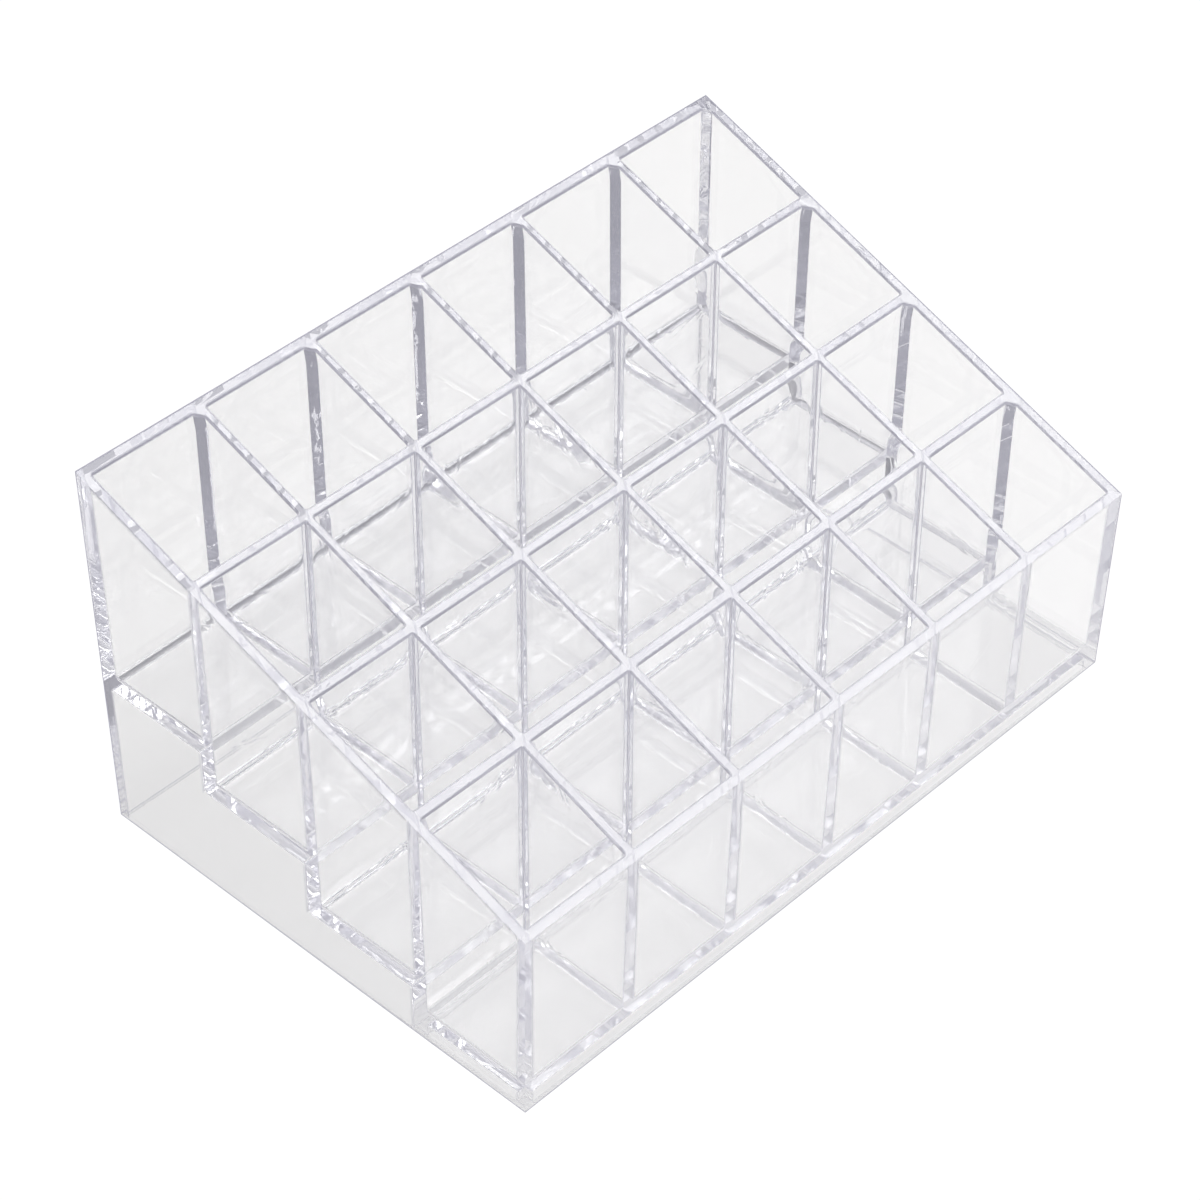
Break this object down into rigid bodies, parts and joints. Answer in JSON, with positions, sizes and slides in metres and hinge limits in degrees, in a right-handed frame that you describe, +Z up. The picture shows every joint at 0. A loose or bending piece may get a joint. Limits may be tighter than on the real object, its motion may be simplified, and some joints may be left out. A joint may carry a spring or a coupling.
{
  "type": "nail polish rack",
  "caption": "Clear plastic nail polish rack: a stepped grid of square open-topped pockets whose rim slopes down from the tall back to the low front.",
  "frame": {"origin": "On the table, at the middle of the rack's width and depth.", "axes": "+X along the width to the right as seen from the front, +Y towards the tall back, +Z up."},
  "size_m": [0.145, 0.0964, 0.0743],
  "materials": {
    "clear_plastic": "gloss"
  },
  "bodies": {
    "root": {"left_side": "clear_plastic", "right_side": "clear_plastic", "back_panel": "clear_plastic", "front_panel": "clear_plastic", "row_divider_1": "clear_plastic", "row_divider_2": "clear_plastic", "row_divider_3": "clear_plastic", "column_divider_1": "clear_plastic", "column_divider_2": "clear_plastic", "column_divider_3": "clear_plastic", "column_divider_4": "clear_plastic", "column_divider_5": "clear_plastic", "floor_1": "clear_plastic", "floor_2": "clear_plastic", "floor_3": "clear_plastic", "floor_4": "clear_plastic"}
  },
  "joints": []
}
